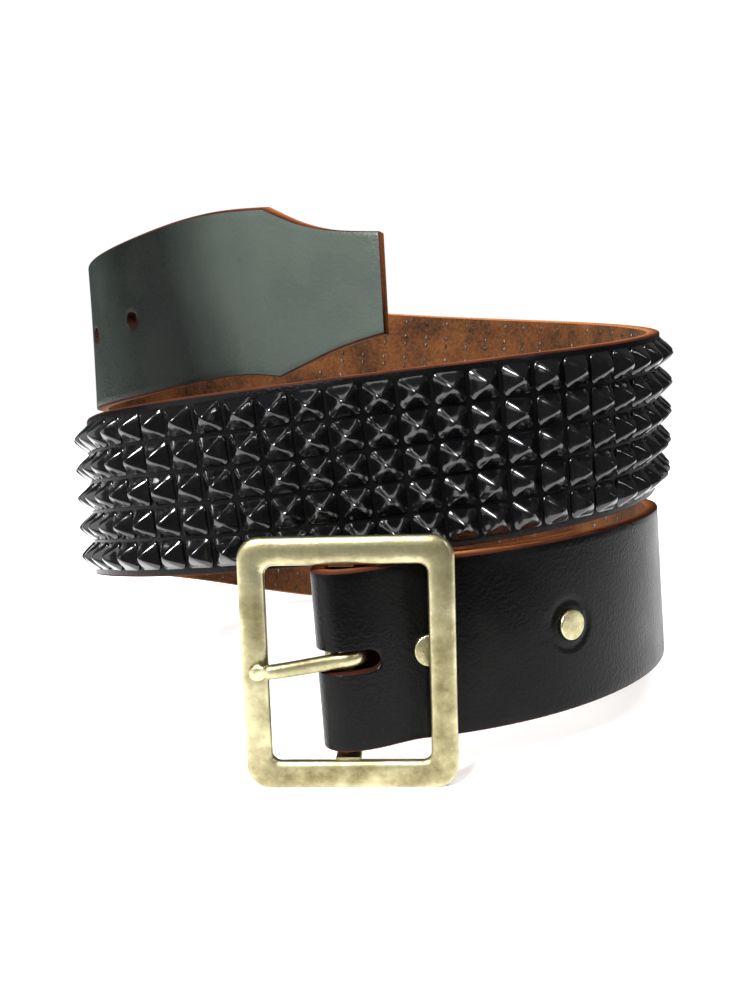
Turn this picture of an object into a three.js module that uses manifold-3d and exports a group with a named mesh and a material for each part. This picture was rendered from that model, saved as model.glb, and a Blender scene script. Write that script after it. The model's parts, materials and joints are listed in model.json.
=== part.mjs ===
// A studded leather belt, rolled up and standing on its edge with the buckle open.
// Millimetres, +Z up, the floor at Z = 0 and the buckle at the front (-Y).
import * as THREE from 'three';
import { mergeVertices } from 'three/addons/utils/BufferGeometryUtils.js';
import Module from 'manifold-3d';

const wasm = await Module();
wasm.setup();

// Strap
const strapWidth = 44.5;
const strapThickness = 3.6;
const strapEdgeChamfer = 0.5;
const layerGap = 0.3; // between pieces that touch on the real belt
const strapLength = 1078.8; // from the buckle's bar to the cut end
const returnLength = 70; // the layer that comes back behind the strap
const tipTaperLength = 34;
const tipEndWidth = 25.2;
const tipSideHollow = 1.6; // how far the tapered sides dip below a straight line

// Roll
const coilReach = 88; // usual distance from the roll's axis to the middle of the leather
const foldBlendAngle = 12; // turn over which the strap settles behind the buckle

// Studs
const studPitch = 8.3;
const studRows = 5;
const studColumns = 84;
const studSplit = 42; // column where the lower half of the field meets the upper half
const studHeight = 3.9; // peak above the leather
const studSheetThickness = 0.5;
const studWaistHeight = 1.35; // where the flared foot turns into the straight faces
const studWaistHalf = 2.75;
const fieldStart = 154.5; // from the buckle's bar to the first stud column

// Punched holes
const holeCount = 5;
const holeDiameter = 5;
const holePitch = 25;
const holeFromEnd = 89.3;

// Buckle frame
const frameWidth = 51.6;
const sideBarWidth = 6.5;
const crossBarWidth = 7;
const frameWindowSpare = 2; // room above and below the strap in the window
const frameThickness = 3.2;
const frameCornerRadius = 5.5;
const frameWindowRadius = 2.2;
const frameBevel = 0.8;
const frameYaw = -4.2; // turn of the frame on its bar
const frameStandOff = 4.5; // middle of the frame's thickness beyond coilReach
const barDiameter = 3.6;
const barAngle = -95.5; // where the bar stands round the roll
const barSetBack = 4; // behind the middle of the frame's thickness
const barOffset = 1; // towards the free side of the frame
const lugWidth = 6;
const lugBite = 0.9; // how far each lug reaches into its cross bar
const lugStep = 0.5; // how far it stands out into the window

// Fold and slot
const foldInnerRadius = 3.4;
const slotHeight = 5.8;
const slotReach = 8.8; // past the bar, on both layers

// Tongue
const tongueWidth = 3.8;
const tongueThickness = 2.8;
const tongueEyeClearance = 1.2;
const tongueEyeWrap = 250;
const tongueReach = 24; // from the frame's middle to the tip
const tongueTilt = 6;
const tongueTipLength = 2.4;
const tongueTipLeast = 0.25; // share of the tongue's size left at its blunt end

// Rivets
const rivetFirst = 21.8; // from the bar
const rivetPitch = 38.6;
const rivetHeadDiameter = 8;
const rivetHeadHeight = 1;
const rivetRimBevel = 0.45;
const rivetPostDiameter = 3;

// Fineness of curved surfaces
const roundSides = 16;
const foldSteps = 14;
const taperSteps = 6;
const slotEndSteps = 8;
const frameCornerSteps = 5;
const frameWindowSteps = 3;
const frameBevelSteps = 2;
const tongueSides = 8;
const tongueEyeSteps = 14;
const tongueShankSteps = 5;
const tongueTipShares = [0, 0.4, 0.75, 0.94, 1];

// Steps of the course's own measure, in degrees, and the distance under which points are one
const slopeStep = 0.05;
const lengthStep = 0.5;
const courseMargin = 40;
const weldDistance = 1e-4;

// Course of the strap, one row for each stretch of the roll. The angle is in degrees round the roll,
// counter-clockwise seen from above. The reach is a share of coilReach, the rise a share of
// strapWidth, and the lean is in degrees, positive where the upper edge leans outwards.
const course = [
  { angle: -95.5, reach: 1.002, rise: 0.722, lean: 0.0 },
  { angle: -85, reach: 1.0, rise: 0.737, lean: -1.5 },
  { angle: -70, reach: 0.998, rise: 0.756, lean: -3.0 },
  { angle: -45, reach: 0.993, rise: 0.768, lean: -3.8 },
  { angle: 0, reach: 0.989, rise: 0.69, lean: -2.7 },
  { angle: 45, reach: 1.0, rise: 0.545, lean: -0.5 },
  { angle: 70, reach: 0.999, rise: 0.512, lean: 0.8 },
  { angle: 95, reach: 0.995, rise: 0.518, lean: 1.5 },
  { angle: 135, reach: 0.98, rise: 0.87, lean: 0.5 },
  { angle: 180, reach: 0.956, rise: 1.288, lean: -0.8 },
  { angle: 225, reach: 1.002, rise: 1.571, lean: -0.5 },
  { angle: 270, reach: 0.944, rise: 1.74, lean: -0.2 },
  { angle: 315, reach: 0.994, rise: 1.852, lean: 0.2 },
  { angle: 360, reach: 0.948, rise: 1.924, lean: 0.7 },
  { angle: 405, reach: 0.935, rise: 1.996, lean: 1.1 },
  { angle: 450, reach: 0.942, rise: 2.108, lean: 1.4 },
  { angle: 495, reach: 0.983, rise: 2.289, lean: -0.2 },
  { angle: 530, reach: 1.019, rise: 2.434, lean: -1.0 },
  { angle: 560, reach: 0.755, rise: 2.611, lean: 4.0 },
  { angle: 590, reach: 0.626, rise: 2.705, lean: 10.7 },
  { angle: 612, reach: 0.657, rise: 2.69, lean: 5.7 },
  { angle: 632, reach: 0.769, rise: 2.718, lean: -5.6 },
];

const black = { color: 0x17171a, roughness: 0.35, metalness: 0.0 };
const gloss = { color: 0x0c0c0e, roughness: 0.15, metalness: 0.3 };
const oldBrass = { color: 0xaaa37c, roughness: 0.38, metalness: 1.0 };

// A smooth curve through the table's values, with no bend at its two ends.
function smoothColumn(rows, column) {
  const xs = rows.map((row) => row.angle);
  const ys = rows.map((row) => row[column]);
  const bend = xs.map(() => 0);
  const upper = xs.map(() => 0);
  for (let i = 1; i < xs.length - 1; i += 1) {
    const before = xs[i] - xs[i - 1];
    const after = xs[i + 1] - xs[i];
    const turn = (ys[i + 1] - ys[i]) / after - (ys[i] - ys[i - 1]) / before;
    const pivot = 2 * (before + after) - before * upper[i - 1];
    upper[i] = after / pivot;
    bend[i] = (6 * turn - before * bend[i - 1]) / pivot;
  }
  for (let i = xs.length - 2; i > 0; i -= 1) {
    bend[i] -= upper[i] * bend[i + 1];
  }
  return (x) => {
    let i = 0;
    while (i < xs.length - 2 && x > xs[i + 1]) {
      i += 1;
    }
    const span = xs[i + 1] - xs[i];
    const a = (xs[i + 1] - x) / span;
    const b = (x - xs[i]) / span;
    const curve = ((a ** 3 - a) * bend[i] + (b ** 3 - b) * bend[i + 1]) * span * span / 6;
    return a * ys[i] + b * ys[i + 1] + curve;
  };
}

const reachAt = smoothColumn(course, 'reach');
const riseAt = smoothColumn(course, 'rise');
const leanAt = smoothColumn(course, 'lean');

// The frame's height and place, with its own directions and the bar's place.
const frameHeight = strapWidth + 2 * (frameWindowSpare + crossBarWidth);
const frameReach = coilReach + frameStandOff;
const yaw = THREE.MathUtils.degToRad(frameYaw);
const barTurn = THREE.MathUtils.degToRad(barAngle);
const frameAlong = new THREE.Vector3(Math.cos(yaw), Math.sin(yaw), 0);
const frameOut = new THREE.Vector3(Math.sin(yaw), -Math.cos(yaw), 0);
const barReach = frameReach - barSetBack;
const barPlace = new THREE.Vector3(
  barReach * Math.cos(barTurn),
  barReach * Math.sin(barTurn),
  frameHeight / 2,
);
const framePlace = barPlace.clone()
  .addScaledVector(frameOut, barSetBack)
  .addScaledVector(frameAlong, barOffset);

const foldMiddleRadius = foldInnerRadius + strapThickness / 2;
const layerPitch = strapThickness + layerGap;

// Share of the fold's swell that is left at an angle: 1 at the bar, 0 past the blend.
function swellAt(angle) {
  const t = Math.min(Math.max((angle - barAngle) / foldBlendAngle, 0), 1);
  return 1 - t * t * (3 - 2 * t);
}

function mainReach(angle) {
  const reach = coilReach * reachAt(angle);
  return reach + (barReach + foldMiddleRadius - reach) * swellAt(angle);
}

function returnReach(angle) {
  const reach = coilReach * reachAt(angle) - layerPitch;
  return reach + (barReach - foldMiddleRadius - reach) * swellAt(angle);
}

// A station of the strap: its middle, and the directions along, out of and across the leather.
function stationAt(angle, reach) {
  const placeAt = (degrees) => {
    const turn = THREE.MathUtils.degToRad(degrees);
    const r = reach(degrees);
    return new THREE.Vector3(r * Math.cos(turn), r * Math.sin(turn), strapWidth * riseAt(degrees));
  };
  const along = placeAt(angle + slopeStep).sub(placeAt(angle - slopeStep)).normalize();
  const level = new THREE.Vector3(along.y, -along.x, 0).normalize();
  const upright = new THREE.Vector3().crossVectors(level, along);
  const lean = THREE.MathUtils.degToRad(leanAt(angle));
  const out = level.clone().multiplyScalar(Math.cos(lean)).addScaledVector(upright, -Math.sin(lean));
  const across = upright.clone().multiplyScalar(Math.cos(lean)).addScaledVector(level, Math.sin(lean));
  return { middle: placeAt(angle), along, out, across };
}

// Distances along the strap from the bar, and the angle at a distance.
const lengthTable = [0];
const lastAngle = course[course.length - 1].angle + courseMargin;
for (let angle = barAngle; angle < lastAngle; angle += lengthStep) {
  const from = stationAt(angle, mainReach).middle;
  const to = stationAt(angle + lengthStep, mainReach).middle;
  lengthTable.push(lengthTable[lengthTable.length - 1] + from.distanceTo(to));
}

function angleAt(distance) {
  let i = 0;
  while (i < lengthTable.length - 2 && lengthTable[i + 1] < distance) {
    i += 1;
  }
  const share = (distance - lengthTable[i]) / (lengthTable[i + 1] - lengthTable[i]);
  return barAngle + (i + share) * lengthStep;
}

function strapStation(distance) {
  return stationAt(angleAt(distance), mainReach);
}

// A closed solid through rings of points that all have the same count.
function loft(rings) {
  const count = rings[0].length;
  const positions = rings.flat().flatMap((p) => [p.x, p.y, p.z]);
  const index = [];
  for (let r = 0; r < rings.length - 1; r += 1) {
    for (let k = 0; k < count; k += 1) {
      const a = r * count + k;
      const b = r * count + (k + 1) % count;
      index.push(a, b, b + count, a, b + count, a + count);
    }
  }
  const last = (rings.length - 1) * count;
  for (let k = 1; k < count - 1; k += 1) {
    index.push(0, k + 1, k);
    index.push(last, last + k, last + k + 1);
  }
  const geometry = new THREE.BufferGeometry();
  geometry.setAttribute('position', new THREE.Float32BufferAttribute(positions, 3));
  geometry.setIndex(index);
  return geometry;
}

function solidFrom(geometry) {
  const bare = geometry.clone();
  bare.deleteAttribute('normal');
  bare.deleteAttribute('uv');
  const merged = mergeVertices(bare, weldDistance);
  return new wasm.Manifold(new wasm.Mesh({
    numProp: 3,
    vertProperties: new Float32Array(merged.attributes.position.array),
    triVerts: new Uint32Array(merged.index.array),
  }));
}

function geometryFrom(solid) {
  const mesh = solid.getMesh();
  const geometry = new THREE.BufferGeometry();
  geometry.setAttribute('position', new THREE.Float32BufferAttribute(mesh.vertProperties, 3));
  geometry.setIndex(Array.from(mesh.triVerts));
  return geometry;
}

// Turns a geometry whose own X, Y and Z become the three given directions, and moves it to a place.
function stand(geometry, xDirection, yDirection, zDirection, place) {
  const matrix = new THREE.Matrix4().makeBasis(xDirection, yDirection, zDirection);
  return geometry.clone().applyMatrix4(matrix.setPosition(place));
}

function piece(name, geometry, look) {
  const mesh = new THREE.Mesh(geometry, new THREE.MeshStandardMaterial(look));
  mesh.name = name;
  return mesh;
}

// Half the strap's width at a distance from the bar: full, then hollow-sided towards the cut end.
function halfWidthAt(distance) {
  const t = (distance - (strapLength - tipTaperLength)) / tipTaperLength;
  if (t <= 0) {
    return strapWidth / 2;
  }
  return strapWidth / 2 - t * (strapWidth - tipEndWidth) / 2 - tipSideHollow * Math.sin(Math.PI * t);
}

// Outline of the strap's section, with its four long edges chamfered.
function strapRing(station, halfWidth) {
  const halfThickness = strapThickness / 2;
  const inWidth = halfWidth - strapEdgeChamfer;
  const inThickness = halfThickness - strapEdgeChamfer;
  const outline = [
    [halfThickness, inWidth],
    [halfThickness, -inWidth],
    [inThickness, -halfWidth],
    [-inThickness, -halfWidth],
    [-halfThickness, -inWidth],
    [-halfThickness, inWidth],
    [-inThickness, halfWidth],
    [inThickness, halfWidth],
  ];
  return outline.map(([outwards, across]) => station.middle.clone()
    .addScaledVector(station.out, outwards)
    .addScaledVector(station.across, across));
}

// The return layer, the fold round the bar and the long strap, as one run of stations.
function strapStations() {
  const stations = [];
  const returnSteps = Math.round(2 * returnLength / studPitch);
  for (let i = returnSteps; i > 0; i -= 1) {
    const angle = angleAt(i * returnLength / returnSteps);
    const station = stationAt(angle, returnReach);
    station.out.negate();
    station.along.negate();
    stations.push({ ...station, halfWidth: strapWidth / 2 });
  }
  const start = stationAt(barAngle, mainReach);
  const foldMiddle = start.middle.clone().addScaledVector(start.out, -foldMiddleRadius);
  for (let i = 0; i < foldSteps; i += 1) {
    const turn = Math.PI * (1 - i / foldSteps);
    const out = start.out.clone().multiplyScalar(Math.cos(turn))
      .addScaledVector(start.along, -Math.sin(turn));
    const middle = foldMiddle.clone().addScaledVector(out, foldMiddleRadius);
    stations.push({ middle, out, across: start.across, halfWidth: strapWidth / 2 });
  }
  const taperStart = strapLength - tipTaperLength;
  const distances = [];
  for (let distance = fieldStart % studPitch; distance < taperStart; distance += studPitch) {
    if (distance < returnLength / 2) {
      distances.push(distance - studPitch / 2);
    }
    distances.push(distance);
  }
  for (let i = 0; i <= taperSteps; i += 1) {
    distances.push(taperStart + i * tipTaperLength / taperSteps);
  }
  stations.push({ ...start, halfWidth: strapWidth / 2 });
  distances.forEach((distance) => {
    stations.push({ ...strapStation(distance), halfWidth: halfWidthAt(distance) });
  });
  return stations;
}

function drill(station, diameter, length) {
  const bit = new THREE.CylinderGeometry(diameter / 2, diameter / 2, length, roundSides);
  return stand(bit, station.along, station.out, station.across.clone().negate(), station.middle);
}

function slotCutter() {
  const start = stationAt(barAngle, mainReach);
  const half = slotHeight / 2;
  const free = foldMiddleRadius + strapThickness;
  const outline = new THREE.Shape();
  outline.moveTo(-free, -half);
  outline.lineTo(slotReach - half, -half);
  outline.absarc(slotReach - half, 0, half, -Math.PI / 2, Math.PI / 2, false);
  outline.lineTo(-free, half);
  outline.closePath();
  const depth = 2 * free + strapThickness;
  const cutter = new THREE.ExtrudeGeometry(outline, {
    depth,
    bevelEnabled: false,
    curveSegments: slotEndSteps,
  });
  cutter.translate(0, 0, -depth / 2);
  const place = start.middle.clone().addScaledVector(start.out, -foldMiddleRadius);
  return stand(cutter, start.along, start.across, start.out, place);
}

// Distances from the bar of the two rivets.
const rivetDistances = [rivetFirst, rivetFirst + rivetPitch];

function makeStrap() {
  const rings = strapStations().map((station) => strapRing(station, station.halfWidth));
  let solid = solidFrom(loft(rings));
  solid = solid.subtract(solidFrom(slotCutter()));
  const throughBoth = 4 * layerPitch;
  rivetDistances.forEach((distance) => {
    const bit = drill(strapStation(distance), rivetPostDiameter + 2 * layerGap, throughBoth);
    solid = solid.subtract(solidFrom(bit));
  });
  for (let i = 0; i < holeCount; i += 1) {
    const distance = strapLength - holeFromEnd - i * holePitch;
    const bit = drill(strapStation(distance), holeDiameter, 2 * strapThickness);
    solid = solid.subtract(solidFrom(bit));
  }
  return geometryFrom(solid);
}

// One thin sheet with a row of hollow-sided pyramids across it at every column, from the first
// column up to but not counting the last. Where the field goes on, the sheet stops half a gap short.
function makeStudField(first, last) {
  const positions = [];
  const index = [];
  const halfField = studRows * studPitch / 2;
  const under = strapThickness / 2 + layerGap;
  const top = under + studSheetThickness;
  const addPoint = (station, outwards, across, along) => {
    const p = station.middle.clone()
      .addScaledVector(station.out, outwards)
      .addScaledVector(station.across, across)
      .addScaledVector(station.along, along);
    positions.push(p.x, p.y, p.z);
    return positions.length / 3 - 1;
  };
  const edges = [];
  for (let column = first; column <= last; column += 1) {
    const startGap = column === first && first > 0 ? layerGap / 2 : 0;
    const endGap = column === last && last < studColumns ? layerGap / 2 : 0;
    const station = strapStation(fieldStart + column * studPitch + startGap - endGap);
    const line = [];
    for (let row = 0; row <= studRows; row += 1) {
      line.push(addPoint(station, top, row * studPitch - halfField, 0));
    }
    const low = addPoint(station, under, -halfField, 0);
    const high = addPoint(station, under, halfField, 0);
    edges.push({ line, low, high });
  }
  for (let column = first; column < last; column += 1) {
    const here = edges[column - first];
    const next = edges[column - first + 1];
    const station = strapStation(fieldStart + (column + 0.5) * studPitch);
    for (let row = 0; row < studRows; row += 1) {
      const across = (row + 0.5) * studPitch - halfField;
      const waist = strapThickness / 2 + studWaistHeight;
      const ring = [[-1, -1], [1, -1], [1, 1], [-1, 1]].map(([a, b]) => addPoint(
        station, waist, across + b * studWaistHalf, a * studWaistHalf,
      ));
      const peak = addPoint(station, strapThickness / 2 + studHeight, across, 0);
      const base = [here.line[row], next.line[row], next.line[row + 1], here.line[row + 1]];
      for (let k = 0; k < 4; k += 1) {
        const n = (k + 1) % 4;
        index.push(base[k], base[n], ring[n], base[k], ring[n], ring[k]);
        index.push(ring[k], ring[n], peak);
      }
    }
    index.push(here.low, here.high, next.high, here.low, next.high, next.low);
    index.push(here.low, next.low, next.line[0], here.low, next.line[0], here.line[0]);
    index.push(here.high, here.line[studRows], next.line[studRows]);
    index.push(here.high, next.line[studRows], next.high);
  }
  const closeEnd = (end, turned) => {
    const loop = [end.low, ...end.line, end.high];
    for (let k = 1; k < loop.length - 1; k += 1) {
      index.push(...(turned ? [loop[0], loop[k + 1], loop[k]] : [loop[0], loop[k], loop[k + 1]]));
    }
  };
  closeEnd(edges[0], false);
  closeEnd(edges[last - first], true);
  const geometry = new THREE.BufferGeometry();
  geometry.setAttribute('position', new THREE.Float32BufferAttribute(positions, 3));
  geometry.setIndex(index);
  return geometry;
}

function roundedBox(width, height, radius) {
  const x = width / 2;
  const y = height / 2;
  const outline = new THREE.Path();
  outline.moveTo(x, radius - y);
  outline.absarc(x - radius, y - radius, radius, 0, Math.PI / 2, false);
  outline.absarc(radius - x, y - radius, radius, Math.PI / 2, Math.PI, false);
  outline.absarc(radius - x, radius - y, radius, Math.PI, 1.5 * Math.PI, false);
  outline.absarc(x - radius, radius - y, radius, 1.5 * Math.PI, 2 * Math.PI, false);
  return outline;
}

// The square frame with its middle bar, cast in one and standing on its lower cross bar.
function makeFrame() {
  const rimPath = roundedBox(frameWidth, frameHeight, frameCornerRadius);
  const outline = new THREE.Shape(rimPath.getPoints(frameCornerSteps));
  const windowWidth = frameWidth - 2 * sideBarWidth;
  const windowHeight = frameHeight - 2 * crossBarWidth;
  const windowPath = roundedBox(windowWidth, windowHeight, frameWindowRadius);
  outline.holes.push(new THREE.Path(windowPath.getPoints(frameWindowSteps)));
  const rim = new THREE.ExtrudeGeometry(outline, {
    depth: frameThickness - 2 * frameBevel,
    bevelThickness: frameBevel,
    bevelSize: frameBevel,
    bevelOffset: -frameBevel,
    bevelSegments: frameBevelSteps,
  });
  rim.translate(0, 0, frameBevel - frameThickness / 2);
  const bar = new THREE.CylinderGeometry(
    barDiameter / 2, barDiameter / 2, windowHeight + 2 * lugBite, roundSides,
  );
  bar.translate(-barOffset, 0, -barSetBack);
  const lugDepth = barSetBack + barDiameter / 2;
  let solid = solidFrom(rim).add(solidFrom(bar));
  [-1, 1].forEach((side) => {
    const lug = new THREE.BoxGeometry(lugWidth, lugBite + lugStep, lugDepth);
    lug.translate(-barOffset, side * (windowHeight + lugBite - lugStep) / 2, -lugDepth / 2);
    solid = solid.add(solidFrom(lug));
  });
  return stand(geometryFrom(solid), frameAlong, new THREE.Vector3(0, 0, 1), frameOut, framePlace);
}

// The tongue's middle line in the frame's directions, measured from the bar: an open eye that runs
// behind the bar and up its far side, then the shank that rests on the free side bar.
function tongueLine() {
  const radius = barDiameter / 2 + tongueEyeClearance + tongueThickness / 2;
  const line = [];
  for (let i = 0; i <= tongueEyeSteps; i += 1) {
    const turn = THREE.MathUtils.degToRad(90 - tongueEyeWrap * (1 - i / tongueEyeSteps));
    line.push({
      along: radius * Math.cos(turn),
      out: radius * Math.sin(turn),
      normal: turn,
      size: 1,
    });
  }
  const restOut = barSetBack + frameThickness / 2 + layerGap + tongueThickness / 2;
  const tip = tongueReach - barOffset;
  const restStart = frameWidth / 2 - sideBarWidth - barOffset;
  const rise = (share) => radius + (restOut - radius) * share * share * (3 - 2 * share);
  for (let i = 1; i <= tongueShankSteps; i += 1) {
    const share = i / tongueShankSteps;
    line.push({ along: -restStart * share, out: rise(share), normal: Math.PI / 2, size: 1 });
  }
  tongueTipShares.forEach((share) => {
    const size = Math.max(Math.sqrt(1 - share * share), tongueTipLeast);
    line.push({
      along: -(tip - tongueTipLength * (1 - share)),
      out: restOut,
      normal: Math.PI / 2,
      size,
    });
  });
  return line;
}

function makeTongue() {
  const tilt = THREE.MathUtils.degToRad(tongueTilt);
  const eyePlace = barPlace.clone().setZ(strapWidth * riseAt(barAngle));
  const along = frameAlong.clone().multiplyScalar(Math.cos(tilt));
  along.z = Math.sin(tilt);
  const across = new THREE.Vector3().crossVectors(frameOut, along);
  const section = [];
  const halfSide = Math.PI / tongueSides;
  for (let k = 0; k < tongueSides; k += 1) {
    const turn = -(2 * k + 1) * halfSide;
    section.push([Math.cos(turn) / Math.cos(halfSide), Math.sin(turn) / Math.cos(halfSide)]);
  }
  const rings = tongueLine().map((stop) => section.map(([wide, thick]) => {
    const outwards = thick * stop.size * tongueThickness / 2;
    const sideways = wide * stop.size * tongueWidth / 2;
    return eyePlace.clone()
      .addScaledVector(along, stop.along + outwards * Math.cos(stop.normal))
      .addScaledVector(frameOut, stop.out + outwards * Math.sin(stop.normal))
      .addScaledVector(across, sideways);
  }));
  return loft(rings);
}

// A flat-headed rivet with a bevelled rim, its post, and its plate on the flesh side.
function makeRivet(distance) {
  const angle = angleAt(distance);
  const station = stationAt(angle, mainReach);
  const between = mainReach(angle) - returnReach(angle);
  const top = strapThickness / 2 + layerGap;
  const bottom = -(between + strapThickness / 2 + layerGap);
  const head = rivetHeadDiameter / 2;
  const post = rivetPostDiameter / 2;
  const profile = [
    [0, bottom - rivetHeadHeight],
    [head - rivetRimBevel, bottom - rivetHeadHeight],
    [head, bottom - rivetHeadHeight + rivetRimBevel],
    [head, bottom],
    [post, bottom],
    [post, top],
    [head, top],
    [head, top + rivetHeadHeight - rivetRimBevel],
    [head - rivetRimBevel, top + rivetHeadHeight],
    [0, top + rivetHeadHeight],
  ].map(([x, y]) => new THREE.Vector2(x, y));
  const rivet = new THREE.LatheGeometry(profile, roundSides);
  return stand(rivet, station.along, station.out, station.across.clone().negate(), station.middle);
}

const belt = new THREE.Group();
belt.add(piece('strap', makeStrap(), black));
belt.add(piece('studs_lower', makeStudField(0, studSplit), gloss));
belt.add(piece('studs_upper', makeStudField(studSplit, studColumns), gloss));
belt.add(piece('buckle_frame', makeFrame(), oldBrass));
belt.add(piece('buckle_tongue', makeTongue(), oldBrass));
belt.add(piece('rivet_near', makeRivet(rivetDistances[0]), oldBrass));
belt.add(piece('rivet_far', makeRivet(rivetDistances[1]), oldBrass));

// The origin is the middle of the roll's outline on the floor.
const outline = new THREE.Box3().setFromObject(belt);
belt.position.set(
  -(outline.min.x + outline.max.x) / 2,
  -(outline.min.y + outline.max.y) / 2,
  -outline.min.z,
);

export default belt;
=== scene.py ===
"""A studded leather belt, rolled up on its edge with the buckle open.

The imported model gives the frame: its strap, stud field, buckle, tongue and rivets. This script
builds the fine surface of each one over the same course round the roll, and dresses it: dyed
grain, raw cut edges, brown flesh side with clinched prongs, enamelled studs, and tumbled antique
metal. Lengths are metres, +Z is up and the buckle is at the front (-Y).
"""

import json
import logging
import math
from dataclasses import dataclass, field
from enum import Enum
from functools import partial
from typing import Callable, Optional, Sequence

import bpy
import numpy as np
from mathutils import Matrix, Vector


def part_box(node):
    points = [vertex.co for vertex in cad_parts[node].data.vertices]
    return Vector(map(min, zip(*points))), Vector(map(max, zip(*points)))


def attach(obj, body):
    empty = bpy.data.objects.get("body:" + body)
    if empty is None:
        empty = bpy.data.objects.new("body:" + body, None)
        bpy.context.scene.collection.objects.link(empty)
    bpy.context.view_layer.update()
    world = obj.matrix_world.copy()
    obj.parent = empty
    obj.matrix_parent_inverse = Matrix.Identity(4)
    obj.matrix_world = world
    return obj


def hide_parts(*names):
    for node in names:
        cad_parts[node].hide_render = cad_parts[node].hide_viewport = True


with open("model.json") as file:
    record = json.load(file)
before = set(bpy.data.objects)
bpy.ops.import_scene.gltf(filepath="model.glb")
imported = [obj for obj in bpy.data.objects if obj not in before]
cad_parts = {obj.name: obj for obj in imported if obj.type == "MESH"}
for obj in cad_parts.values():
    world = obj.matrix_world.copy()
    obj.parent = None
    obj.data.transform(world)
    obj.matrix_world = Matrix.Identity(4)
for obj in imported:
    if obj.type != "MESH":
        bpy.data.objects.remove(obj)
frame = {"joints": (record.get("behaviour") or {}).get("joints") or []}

LOG = logging.getLogger("studded_belt")
MM = 0.001
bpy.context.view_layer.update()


def linear(hex_colour: str) -> tuple[float, float, float, float]:
    """Turn an sRGB hex colour to linear light.

    Args:
        hex_colour: Colour such as "#1a1a1c".

    Returns:
        Red, green, blue and an alpha of 1.
    """
    channels = [int(hex_colour[i:i + 2], 16) / 255 for i in (1, 3, 5)]
    light = [c / 12.92 if c <= 0.04045 else ((c + 0.055) / 1.055) ** 2.4 for c in channels]
    return (*light, 1.0)


def feed(node: bpy.types.Node, links: dict) -> None:
    """Feed a node's inputs, by name or number, from sockets or from nodes' first outputs.

    Args:
        node: Node that is fed.
        links: Input names or numbers, and the socket or node that feeds each.
    """
    for key, source in links.items():
        socket = source.outputs[0] if isinstance(source, bpy.types.Node) else source
        node.id_data.links.new(socket, node.inputs[key])


def add_node(tree: bpy.types.NodeTree, kind: str, settings: Optional[dict] = None,
             links: Optional[dict] = None) -> bpy.types.Node:
    """Add a node with its settings and links.

    Args:
        tree: Node tree that gets the node.
        kind: Blender's node type name.
        settings: Attribute names or input names and the values they take, or "stops" with a
            colour ramp's places and colours.
        links: Inputs and what feeds them.

    Returns:
        The new node.
    """
    node = tree.nodes.new(kind)
    for key, value in (settings or {}).items():
        if key == "stops":
            elements = node.color_ramp.elements
            while len(elements) < len(value):
                elements.new(0.5)
            for element, (place, colour) in zip(elements, value):
                element.position, element.color = place, colour
        elif isinstance(key, str) and hasattr(node, key):
            setattr(node, key, value)
        else:
            node.inputs[key].default_value = value
    feed(node, links or {})
    return node


def start_material(name: str, values: dict) -> tuple[
        bpy.types.Material, bpy.types.Node, Callable[..., bpy.types.Node], bpy.types.NodeSocket]:
    """Start a material whose patterns read Object coordinates.

    Args:
        name: Name of the material.
        values: Names of the shader's own sockets and the values they take.

    Returns:
        The material, its shader, add_node for its tree, and the socket of the Object place.
    """
    material = bpy.data.materials.new(name)
    material.use_nodes = True
    shader = material.node_tree.nodes["Principled BSDF"]
    for key, value in values.items():
        shader.inputs[key].default_value = value
    node = partial(add_node, material.node_tree)
    return material, shader, node, node("ShaderNodeTexCoord").outputs["Object"]


def grey(value: float) -> tuple[float, float, float, float]:
    """Give a grey ramp colour of one value."""
    return (value, value, value, 1.0)


class Body(Enum):
    """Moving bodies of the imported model."""

    BELT = "belt"
    TONGUE = "tongue"


class Slot(Enum):
    """Material slots of the record."""

    STRAP = "strap"
    STUDS = "studs"
    BUCKLE = "buckle"
    RIVETS = "rivets"


class Layer(Enum):
    """Layers of the strap near the buckle."""

    MAIN = "main"
    RETURN = "return"


@dataclass(frozen=True)
class CourseRow:
    """One row of the strap's course round the roll.

    The angle is in degrees, counter-clockwise from above; the reach is a share of the roll's usual
    reach, the rise a share of the strap's width, and the lean is in degrees.
    """

    angle: float
    reach: float
    rise: float
    lean: float


COURSE = (
    CourseRow(-95.5, 1.002, 0.722, 0.0),
    CourseRow(-85, 1.0, 0.737, -1.5),
    CourseRow(-70, 0.998, 0.756, -3.0),
    CourseRow(-45, 0.993, 0.768, -3.8),
    CourseRow(0, 0.989, 0.69, -2.7),
    CourseRow(45, 1.0, 0.545, -0.5),
    CourseRow(70, 0.999, 0.512, 0.8),
    CourseRow(95, 0.995, 0.518, 1.5),
    CourseRow(135, 0.98, 0.87, 0.5),
    CourseRow(180, 0.956, 1.288, -0.8),
    CourseRow(225, 1.002, 1.571, -0.5),
    CourseRow(270, 0.944, 1.74, -0.2),
    CourseRow(315, 0.994, 1.852, 0.2),
    CourseRow(360, 0.948, 1.924, 0.7),
    CourseRow(405, 0.935, 1.996, 1.1),
    CourseRow(450, 0.942, 2.108, 1.4),
    CourseRow(495, 0.983, 2.289, -0.2),
    CourseRow(530, 1.019, 2.434, -1.0),
    CourseRow(560, 0.755, 2.611, 4.0),
    CourseRow(590, 0.626, 2.705, 10.7),
    CourseRow(612, 0.657, 2.69, 5.7),
    CourseRow(632, 0.769, 2.718, -5.6),
)


@dataclass(frozen=True)
class StudRing:
    """One ring of a stud: its half width is a share of the foot's, its height of the peak's."""

    half: float
    height: float


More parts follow.
